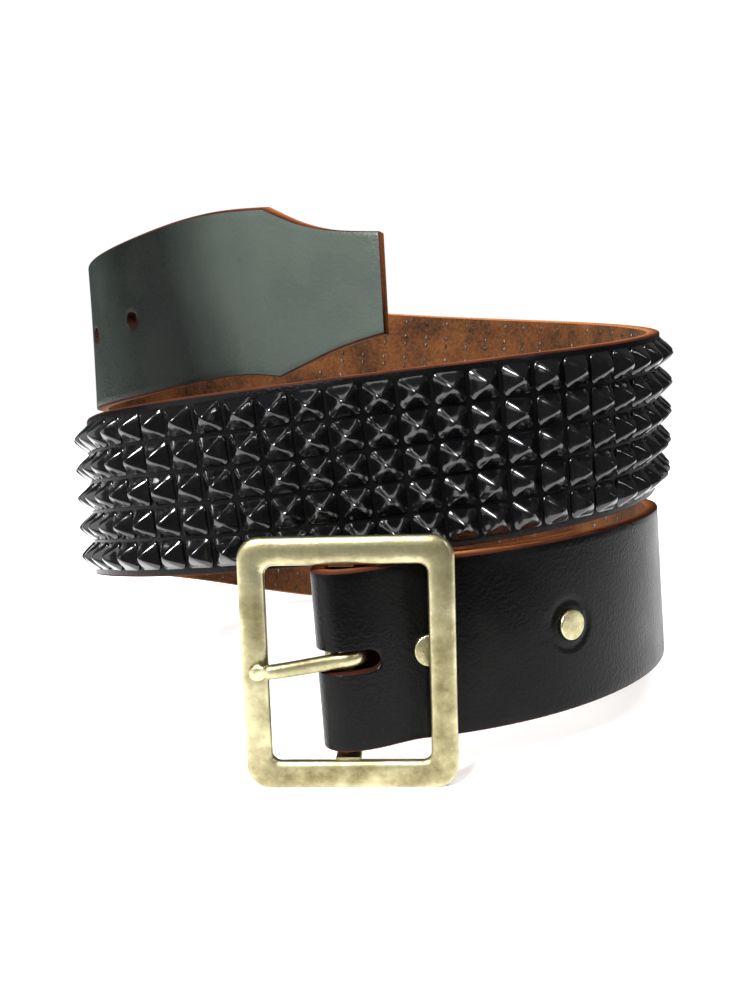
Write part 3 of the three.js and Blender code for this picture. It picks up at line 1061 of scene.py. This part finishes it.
@dataclass
class Studs:
    """Five rows of pressed pyramid studs, with their prongs clinched on the flesh side."""

    roll: Roll
    half_base: float = 3.82 * MM
    ridge_share: float = 0.3
    sink: float = 0.25 * MM
    size_spread: float = 0.02
    tilt_spread: float = 0.035
    prong_spacing: float = 5.2 * MM
    prong_length: float = 2.2 * MM
    prong_width: float = 1.1 * MM
    prong_crown: float = 0.8
    prong_sink: float = 0.3 * MM
    prong_wear: float = 0.3
    seed: int = 11
    enamel: StudEnamel = field(default_factory=StudEnamel)
    prong_metal: AntiqueMetal = field(default_factory=lambda: AntiqueMetal(
        "dull_prong_steel", "#77736a", "#4a4035", "#241a12", 0.5, 3 * MM, 0.5 * MM))

    def stud_form(self) -> bpy.types.Object:
        """Build one stud, standing on the origin: flared foot, full faces and blunt peak.

        Returns:
            The stud.
        """
        height = self.roll.sizes.stud_height
        points = []
        for ring in STUD_RINGS:
            half = ring.half * self.half_base
            z = ring.height * height if ring.height > 0 else -self.sink
            bend = self.ridge_share * half
            core = half - bend
            side = [(half, -half / 3), (half, half / 3)]
            for turn in (0.0, math.pi / 4, math.pi / 2):
                side.append((core + bend * math.cos(turn), core + bend * math.sin(turn)))
            for c, s in ((1, 0), (0, 1), (-1, 0), (0, -1)):
                points += [(x * c - y * s, x * s + y * c, z) for x, y in side]
        count = len(points) // len(STUD_RINGS)
        faces = ring_faces(len(STUD_RINGS), count)[:-1]
        points.append((0.0, 0.0, height))
        last = (len(STUD_RINGS) - 1) * count
        faces += [(last + k, last + (k + 1) % count, len(points) - 1) for k in range(count)]
        return new_object("stud_form", np.array(points), faces, [self.enamel.material()])

    def prong_form(self) -> bpy.types.Object:
        """Build one clinched prong, lying on the origin: a short bent tab.

        Returns:
            The prong.
        """
        points = []
        for row in PRONG_ROWS:
            x = row.place * self.prong_length / 2
            foot = row.width * self.prong_width / 2
            crown = foot * self.prong_crown
            points += [(x, -foot, -self.prong_sink), (x, foot, -self.prong_sink),
                       (x, crown, row.rise), (x, -crown, row.rise)]
        made = new_object("prong_form", np.array(points), ring_faces(len(PRONG_ROWS), 4),
                          [self.prong_metal.material()])
        store_values(made.data, "wear", np.full(len(made.data.vertices), self.prong_wear))
        return made

    def repeat(self, name: str, form: bpy.types.Object, places: np.ndarray, faces_out: np.ndarray,
               faces_along: np.ndarray) -> bpy.types.Object:
        """Set a form on many places with Geometry Nodes and make the result plain.

        Args:
            name: Name of the finished piece.
            form: Object that is repeated.
            places: Places of the copies.
            faces_out: Direction of each copy's height.
            faces_along: Direction of each copy's length.

        Returns:
            The piece.
        """
        carrier = new_object(name, places, [])
        for label, vectors in (("outwards", faces_out), ("lengthwise", faces_along)):
            layer = carrier.data.attributes.new(label, "FLOAT_VECTOR", "POINT")
            layer.data.foreach_set("vector", np.asarray(vectors, np.float32).ravel())
        tree = bpy.data.node_groups.new(name + "_tree", "GeometryNodeTree")
        face = tree.interface
        for label, kind in (("Geometry", "Geometry"), ("Form", "Object"), ("Finish", "Material"),
                            ("Size Spread", "Float"), ("Tilt Spread", "Float"), ("Seed", "Int")):
            face.new_socket(label, in_out="INPUT", socket_type="NodeSocket" + kind)
        face.new_socket("Geometry", in_out="OUTPUT", socket_type="NodeSocketGeometry")
        node = partial(add_node, tree)
        start = node("NodeGroupInput").outputs
        outwards, lengthwise = (
            node("GeometryNodeInputNamedAttribute", {"data_type": "FLOAT_VECTOR", "Name": label})
            for label in ("outwards", "lengthwise"))
        turn = node("FunctionNodeAxesToRotation", {"primary_axis": "Z", "secondary_axis": "X"},
                    {0: outwards.outputs["Attribute"], 1: lengthwise.outputs["Attribute"]})
        info = node("GeometryNodeObjectInfo", links={"Object": start["Form"]})
        low_tilt = node("ShaderNodeMath", {"operation": "MULTIPLY", 1: -1.0},
                        {0: start["Tilt Spread"]})
        low = node("ShaderNodeCombineXYZ", links={i: low_tilt for i in range(3)})
        high = node("ShaderNodeCombineXYZ", links={i: start["Tilt Spread"] for i in range(3)})
        tilt = node("FunctionNodeRandomValue", {"data_type": "FLOAT_VECTOR"},
                    {"Min": low, "Max": high, "Seed": start["Seed"]})
        least, most = (
            node("ShaderNodeMath", {"operation": operation, 0: 1.0}, {1: start["Size Spread"]})
            for operation in ("SUBTRACT", "ADD"))
        size = node("FunctionNodeRandomValue", {"data_type": "FLOAT"},
                    {2: least, 3: most, "Seed": start["Seed"]})
        tilted = node("FunctionNodeRotateRotation", {"rotation_space": "LOCAL"},
                      {0: turn, 1: tilt})
        set_on = node("GeometryNodeInstanceOnPoints", links={
            "Points": start["Geometry"], "Instance": info.outputs["Geometry"],
            "Rotation": tilted, "Scale": size.outputs[1]})
        real = node("GeometryNodeRealizeInstances", links={"Geometry": set_on})
        dressed = node("GeometryNodeSetMaterial", links={
            "Geometry": real, "Material": start["Finish"]})
        node("NodeGroupOutput", links={"Geometry": dressed})
        modifier = carrier.modifiers.new("repeat", "NODES")
        modifier.node_group = tree
        values = {"Form": form, "Finish": form.data.materials[0], "Size Spread": self.size_spread,
                  "Tilt Spread": self.tilt_spread, "Seed": self.seed}
        for item in face.items_tree:
            if item.in_out == "INPUT" and item.name in values:
                modifier[item.identifier] = values[item.name]
        made_plain(carrier)
        bpy.data.objects.remove(form)
        return carrier

    def grid(self) -> tuple[Stations, np.ndarray]:
        """Give the studs' stations, one for each stud, and their places across the strap.

        Returns:
            Stations and places.
        """
        sizes = self.roll.sizes
        columns = np.arange(sizes.stud_columns) + 0.5
        rows = np.arange(sizes.stud_rows) + 0.5 - sizes.stud_rows / 2
        column, row = np.meshgrid(columns, rows, indexing="ij")
        spots = self.roll.main(sizes.field_start + column.ravel() * sizes.stud_pitch)
        return spots, row.ravel() * sizes.stud_pitch

    def build(self) -> list[bpy.types.Object]:
        """Build the studs and the prongs.

        Returns:
            The two pieces.
        """
        half = self.roll.sizes.strap_thickness / 2
        spots, across = self.grid()
        places = spots.middle + spots.out * half + spots.across * across[:, None]
        studs = self.repeat("pyramid_studs", self.stud_form(), places, spots.out, spots.along)
        prong_places = []
        for side in (-1, 1):
            shift = across + side * self.prong_spacing / 2
            prong_places.append(spots.middle - spots.out * half + spots.across * shift[:, None])
        prongs = self.repeat("clinched_prongs", self.prong_form(), np.concatenate(prong_places),
                             -np.tile(spots.out, (2, 1)),
                             np.concatenate([spots.across, -spots.across]))
        return [studs, prongs]


@dataclass
class Buckle:
    """The square cast frame with its middle bar, and the tongue on the bar."""

    roll: Roll
    path_steps: int = 40
    corner_steps: int = 12
    section_steps: int = 28
    roundness: float = 0.8
    cast_wander: float = 0.12 * MM
    tip_clearance: float = 0.08 * MM
    pad_length: float = 4.8 * MM
    pad_share: float = 1.12
    pad_thin: float = 0.62
    neck_share: float = 0.08
    bar_sides: int = 32
    tongue_sides: int = 24
    tongue_roundness: float = 0.75
    eye_steps: int = 40
    shank_steps: int = 18
    pad_steps: int = 12
    wander_waves: int = 6
    wander_seed: int = 5
    polish_power: int = 3
    polish_back: float = -0.4
    tongue_wear: float = 0.8
    tip_least_width: float = 0.05
    metal: AntiqueMetal = field(default_factory=AntiqueMetal)

    def outline(self, width: float, height: float, radius: float) -> np.ndarray:
        """Give the points of a rounded box, with the same count on every side and corner.

        Args:
            width: Its width.
            height: Its height.
            radius: Radius of its corners.

        Returns:
            The points.
        """
        x, y = width / 2 - radius, height / 2 - radius
        points = []
        corners = [(x, -y, -90), (x, y, 0), (-x, y, 90), (-x, -y, 180)]
        for i, (cx, cy, start) in enumerate(corners):
            for k in range(self.corner_steps + 1):
                a = math.radians(start + 90 * k / self.corner_steps)
                points.append((cx + radius * math.cos(a), cy + radius * math.sin(a)))
            nx, ny, after = corners[(i + 1) % 4]
            a = math.radians(after)
            end = (nx + radius * math.cos(a), ny + radius * math.sin(a))
            here = points[-1]
            for k in range(1, self.path_steps):
                t = k / self.path_steps
                points.append((here[0] + (end[0] - here[0]) * t, here[1] + (end[1] - here[1]) * t))
        return np.array(points)

    def to_world(self, local: np.ndarray, place: np.ndarray) -> np.ndarray:
        """Turn places along, up and out of the frame into places in the scene.

        Args:
            local: The places.
            place: Middle that they are measured from.

        Returns:
            Places in the scene.
        """
        roll = self.roll
        return (place + local[..., :1] * roll.frame_along + local[..., 1:2] * roll.up
                + local[..., 2:3] * roll.frame_out)

    def rim(self) -> bpy.types.Object:
        """Build the frame's four bars: round edged, with a slight cast wander on the front.

        Returns:
            The four bars, in one mesh.
        """
        sizes = self.roll.sizes
        outer = self.outline(sizes.frame_width, sizes.frame_height, sizes.frame_corner_radius)
        inner = self.outline(sizes.frame_width - 2 * sizes.side_bar_width,
                             sizes.frame_height - 2 * sizes.cross_bar_width,
                             sizes.frame_window_radius)
        turn = np.linspace(0, 2 * math.pi, self.section_steps, endpoint=False)
        wide, deep = rounded(turn, self.roundness)
        share = (1 + wide) / 2
        phase = np.random.default_rng(self.wander_seed).uniform(0, 2 * math.pi, self.wander_waves)
        around = np.linspace(0, 2 * math.pi, len(outer), endpoint=False)
        wander = sum(np.sin(around * (3 + 2 * i) + p) / (i + 1) for i, p in enumerate(phase))
        flat = inner[:, None] + (outer - inner)[:, None] * share[None, :, None]
        height = np.broadcast_to(sizes.frame_thickness / 2 * deep, flat.shape[:2]).copy()
        height += (self.cast_wander * wander / 3)[:, None] * np.maximum(deep, 0)[None, :]
        local = np.concatenate([flat, height[..., None]], -1)
        points = self.to_world(local, self.roll.frame_place).reshape(-1, 3)
        rim = new_object("buckle_cast_frame", points,
                         ring_faces(len(outer), self.section_steps, True), [self.metal.material()])
        edge = np.abs(wide) ** self.polish_power * (deep > self.polish_back)
        store_values(rim.data, "wear", np.tile(edge, len(outer)))
        return rim

    def build_frame(self) -> bpy.types.Object:
        """Build the frame with its middle bar and lugs joined to it.

        Returns:
            The frame.
        """
        sizes = self.roll.sizes
        rim = self.rim()
        window = sizes.frame_height - 2 * sizes.cross_bar_width
        half = window / 2 + sizes.lug_bite
        radius = sizes.bar_diameter / 2
        turn = np.linspace(0, 2 * math.pi, self.bar_sides, endpoint=False)
        ring = np.stack([radius * np.cos(turn) - sizes.bar_offset, np.zeros(self.bar_sides),
                         -radius * np.sin(turn) - sizes.bar_set_back], -1)
        ends = [ring + [0, side * half, 0] for side in (-1, 1)]
        adds = [new_object("bar", self.to_world(np.concatenate(ends), self.roll.frame_place),
                           ring_faces(2, self.bar_sides))]
        depth = sizes.bar_set_back + radius
        for side in (-1, 1):
            low, high = sorted([side * (window / 2 - sizes.lug_step), side * half])
            wide = sizes.lug_width / 2
            lug = [(x, y, z) for z in (-depth, 0.0)
                   for x, y in ((-wide, low), (wide, low), (wide, high), (-wide, high))]
            local = np.array(lug) - [sizes.bar_offset, 0, 0]
            adds.append(new_object("lug", self.to_world(local, self.roll.frame_place),
                                   ring_faces(2, 4), smooth=False))
        for added in adds:
            added.data.materials.append(rim.data.materials[0])
            join = rim.modifiers.new("join", "BOOLEAN")
            join.operation = "UNION"
            join.solver = "EXACT"
            join.object = added
        made_plain(rim)
        for added in adds:
            bpy.data.objects.remove(added)
        return rim

    def tongue_stops(self) -> list[tuple[float, float, float, float, float]]:
        """Give the tongue's middle line: along, out, normal angle, width and thickness shares.

        Returns:
            The five numbers of each stop.
        """
        sizes = self.roll.sizes
        radius = sizes.bar_diameter / 2 + sizes.tongue_eye_clearance + sizes.tongue_thickness / 2
        stops = []
        for i in range(self.eye_steps + 1):
            turn = math.radians(90 - sizes.tongue_eye_wrap * (1 - i / self.eye_steps))
            stops.append((radius * math.cos(turn), radius * math.sin(turn), turn, 1.0, 1.0))
        ground = sizes.bar_set_back + sizes.frame_thickness / 2 + self.tip_clearance
        rest = ground + sizes.tongue_thickness / 2
        tip = sizes.tongue_reach - sizes.bar_offset
        pad = tip - self.pad_length / 2
        neck = pad - self.pad_length / 2
        for i in range(1, self.shank_steps + 1):
            t = i / self.shank_steps
            rise = radius + (rest - radius) * t * t * (3 - 2 * t)
            stops.append((-neck * t, rise, math.pi / 2, 1 - self.neck_share * t, 1.0))
        for i in range(1, self.pad_steps + 1):
            turn = math.pi * i / self.pad_steps
            t = (1 - math.cos(turn)) / 2
            wide = max(self.pad_share * math.sin(turn),
                       (1 - self.neck_share) * (1 - t) if turn < math.pi / 2
                       else self.tip_least_width)
            thick = self.pad_thin + (1 - self.pad_thin) * max(1 - 2 * t, 0) ** 2
            thick *= math.sqrt(max(1 - max(2 * t - 1, 0) ** 4, 0.02))
            stops.append((-(neck + self.pad_length * t),
                          ground + sizes.tongue_thickness / 2 * thick, math.pi / 2, wide, thick))
        return stops

    def build_tongue(self) -> bpy.types.Object:
        """Build the tongue: a round-edged bar bent into an open eye round the middle bar.

        Returns:
            The tongue.
        """
        sizes = self.roll.sizes
        tilt = math.radians(sizes.tongue_tilt)
        along = self.roll.frame_along * math.cos(tilt) + self.roll.up * math.sin(tilt)
        across = np.cross(self.roll.frame_out, along)
        eye = self.roll.bar_place.copy()
        eye[2] = self.roll.main(0.0).middle[0, 2]
        turn = -np.linspace(0, 2 * math.pi, self.tongue_sides, endpoint=False)
        wide, thick = rounded(turn, self.tongue_roundness)
        rings = []
        for run, rise, normal, broad, deep in self.tongue_stops():
            outwards = thick * deep * sizes.tongue_thickness / 2
            sideways = wide * broad * sizes.tongue_width / 2
            rings.append(eye + (run + outwards * math.cos(normal))[:, None] * along
                         + (rise + outwards * math.sin(normal))[:, None] * self.roll.frame_out
                         + sideways[:, None] * across)
        tongue = new_object("buckle_prong_tongue", np.concatenate(rings),
                            ring_faces(len(rings), self.tongue_sides), [self.metal.material()])
        wear = np.maximum(thick, 0) ** 2 * self.tongue_wear
        store_values(tongue.data, "wear", np.tile(wear, len(rings)))
        return tongue


@dataclass
class Rivets:
    """The two flat-headed rivets that close the fold."""

    roll: Roll
    sides: int = 56
    rim_bevel: float = 0.4 * MM
    seat_gap: float = 0.05 * MM
    under_chamfer: float = 0.1 * MM
    dome: tuple[float, float] = (0.06 * MM, 0.09 * MM)
    low_wear: float = 0.2
    metal: AntiqueMetal = field(default_factory=lambda: AntiqueMetal(
        "satin_rivet_brass", "#b7b08c", "#999170", "#756d4d", 0.33, 3 * MM, 0.5 * MM))

    def build(self, distance: float, name: str, metal: bpy.types.Material) -> bpy.types.Object:
        """Build one rivet: head, post through both layers, and the plate behind.

        Args:
            distance: Distance from the bar.
            name: Name of the piece.
            metal: Its material.

        Returns:
            The piece.
        """
        sizes = self.roll.sizes
        spot = self.roll.main(distance)
        angle = self.roll.angle_at(np.array([distance]))
        between = float((self.roll.reach(angle, Layer.MAIN)
                         - self.roll.reach(angle, Layer.RETURN))[0])
        top = sizes.strap_thickness / 2 + self.seat_gap
        low = -(between + sizes.strap_thickness / 2 + sizes.layer_gap)
        head = sizes.rivet_head_diameter / 2
        post = sizes.rivet_post_diameter / 2 - self.seat_gap
        bevel = self.rim_bevel
        back = low - sizes.rivet_head_height
        front = top + sizes.rivet_head_height
        profile = [
            (head * 0.5, back), (head - bevel, back),
            (head - bevel * 0.3, back + bevel * 0.3), (head, back + bevel),
            (head, low), (post, low), (post, top),
            (head - self.under_chamfer, top), (head, top + self.under_chamfer),
            (head, front - bevel), (head - bevel * 0.12, front - bevel * 0.45),
            (head - bevel * 0.45, front - bevel * 0.12), (head - bevel, front),
            (head * 0.6, front + self.dome[0]), (head * 0.2, front + self.dome[1]),
        ]
        turn = np.linspace(0, 2 * math.pi, self.sides, endpoint=False)[:, None]
        rings = [spot.middle + spot.out * height
                 + radius * (np.cos(turn) * spot.along + np.sin(turn) * spot.across)
                 for radius, height in profile]
        made = new_object(name, np.concatenate(rings), ring_faces(len(profile), self.sides),
                          [metal])
        wear = [1.0 if abs(radius - head) < bevel and height > 0 else self.low_wear
                for radius, height in profile]
        store_values(made.data, "wear", np.repeat(wear, self.sides))
        return made


@dataclass(frozen=True)
class Panel:
    """One soft light: its place, what it points at, size, watts, and if gloss mirrors it."""

    name: str
    place: tuple[float, float, float]
    aim: tuple[float, float, float]
    size: tuple[float, float]
    power: float
    mirrored: bool = True


PANELS = (
    Panel("top_panel", (0.1, 0.2, 1.2), (0, 0.05, 0), (1.6, 1.3), 24, mirrored=False),
    Panel("sky_panel", (0.0, -0.3, 1.1), (0, 0, 0.05), (0.6, 0.3), 1.6),
    Panel("key_panel", (-0.34, -0.68, 0.62), (0, 0, 0.07), (0.26, 0.24), 22),
    Panel("left_panel", (-0.85, -0.55, 0.2), (0, -0.07, 0.11), (0.9, 0.32), 2.6),
    Panel("right_lamp", (0.5, -0.5, 0.4), (0, 0, 0.08), (0.04, 0.3), 1.0),
)


@dataclass
class Studio:
    """Pale floor, soft lights and the camera."""

    floor_colour: str = "#f4f5f4"
    floor_glow: float = 0.22
    floor_side: float = 0.9
    floor_right: float = 0.8
    floor_front: float = -0.2
    floor_roughness: float = 0.7
    surround_light: float = 0.1
    near_clip: float = 10 * MM
    camera_place: tuple[float, float, float] = (-1.41 * MM, -334.57 * MM, 110.51 * MM)
    camera_pitch: float = 9.33
    camera_roll: float = -1.87
    camera_yaw: float = 0.05
    focal_pixels: float = 1058.0
    picture_width: float = 751.0
    sensor: float = 36.0

    def build_floor(self) -> bpy.types.Object:
        """Build the floor, a white board that ends a little way in front of the belt.

        Returns:
            The floor.
        """
        left, right, front, back = (-self.floor_side, self.floor_right, self.floor_front,
                                    self.floor_side)
        points = np.array([(left, front, 0), (right, front, 0), (right, back, 0),
                           (left, back, 0)], float)
        material, shader, node, place = start_material("matt_white_board", {
            "Roughness": self.floor_roughness, "Emission Color": grey(1.0),
            "Emission Strength": self.floor_glow})
        mottle = node("ShaderNodeTexNoise", {"Scale": 6.0, "Detail": 2.0}, {"Vector": place})
        tone = node("ShaderNodeValToRGB", {"stops": [
            (0.3, linear(self.floor_colour)), (0.7, grey(1.0))]}, {"Fac": mottle})
        feed(shader, {"Base Color": tone})
        return new_object("floor_board", points, [(0, 1, 2, 3)], [material], smooth=False)

    def build_world(self) -> None:
        """Set a plain bright surround that the camera sees as white."""
        world = bpy.data.worlds.new("studio_surround")
        world.use_nodes = True
        node = partial(add_node, world.node_tree)
        light, end = (world.node_tree.nodes[name] for name in ("Background", "World Output"))
        light.inputs["Color"].default_value = grey(1.0)
        light.inputs["Strength"].default_value = self.surround_light
        seen = node("ShaderNodeBackground", {"Color": grey(1.0), "Strength": 1.0})
        camera_ray = node("ShaderNodeLightPath").outputs["Is Camera Ray"]
        feed(end, {"Surface": node("ShaderNodeMixShader", links={0: camera_ray, 1: light,
                                                                 2: seen})})
        bpy.context.scene.world = world

    def add_panel(self, panel: Panel) -> None:
        """Add a light; glossy surfaces show it only where the panel says so.

        Args:
            panel: The light.
        """
        data = bpy.data.lights.new(panel.name, "AREA")
        data.shape = "RECTANGLE"
        data.size, data.size_y = panel.size
        data.energy = panel.power
        lamp = bpy.data.objects.new(panel.name, data)
        lamp.location = panel.place
        ahead = Vector(panel.aim) - Vector(panel.place)
        lamp.rotation_euler = ahead.to_track_quat("-Z", "Y").to_euler()
        lamp.visible_glossy = panel.mirrored
        bpy.context.scene.collection.objects.link(lamp)

    def build_camera(self) -> None:
        """Set the camera at the photograph's view."""
        pitch = math.radians(self.camera_pitch)
        yaw = math.radians(self.camera_yaw)
        roll = math.radians(self.camera_roll)
        ahead = Vector((math.sin(yaw) * math.cos(pitch), math.cos(yaw) * math.cos(pitch),
                        -math.sin(pitch)))
        level = Vector((math.cos(yaw), -math.sin(yaw), 0))
        above = level.cross(ahead)
        right = level * math.cos(roll) + above * math.sin(roll)
        top = above * math.cos(roll) - level * math.sin(roll)
        data = bpy.data.cameras.new("camera")
        data.sensor_fit = "HORIZONTAL"
        data.sensor_width = self.sensor
        data.lens = self.focal_pixels / self.picture_width * self.sensor
        data.clip_start = self.near_clip
        camera = bpy.data.objects.new("camera", data)
        turned = Matrix((right, top, -ahead)).transposed().to_4x4()
        camera.matrix_world = Matrix.Translation(self.camera_place) @ turned
        bpy.context.scene.collection.objects.link(camera)
        bpy.context.scene.camera = camera

    def build(self) -> None:
        """Build the floor, the surround, the lights and the camera."""
        bpy.context.scene.view_settings.view_transform = "Standard"
        self.build_floor()
        self.build_world()
        for panel in PANELS:
            self.add_panel(panel)
        self.build_camera()


def finish_piece(piece: bpy.types.Object, body: Body, nodes: Sequence[str]) -> None:
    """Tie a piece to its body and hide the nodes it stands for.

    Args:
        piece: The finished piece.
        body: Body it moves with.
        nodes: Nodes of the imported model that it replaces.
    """
    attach(piece, body.value)
    if nodes:
        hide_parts(*nodes)
    LOG.info("%s: %d faces", piece.name, len(piece.data.polygons))


def main() -> None:
    """Build the belt, dress it and set the studio."""
    sizes = BeltSizes()
    joint = frame["joints"][0]
    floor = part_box("buckle_frame")[0].z
    roll = Roll(sizes, joint["pos_m"], floor)
    finish_piece(Strap(roll).build(), Body.BELT, ["strap"])
    studs, prongs = Studs(roll).build()
    finish_piece(studs, Body.BELT, ["studs_lower", "studs_upper"])
    finish_piece(prongs, Body.BELT, [])
    buckle = Buckle(roll)
    finish_piece(buckle.build_frame(), Body.BELT, ["buckle_frame"])
    finish_piece(buckle.build_tongue(), Body.TONGUE, ["buckle_tongue"])
    rivets = Rivets(roll)
    metal = rivets.metal.material()
    for name, distance in zip(("rivet_near", "rivet_far"), sizes.rivets):
        piece = rivets.build(distance, name + "_head", metal)
        finish_piece(piece, Body.BELT, [name])
    Studio().build()
    bpy.context.view_layer.update()


if __name__ == "__main__":
    logging.basicConfig(level=logging.INFO)
    main()
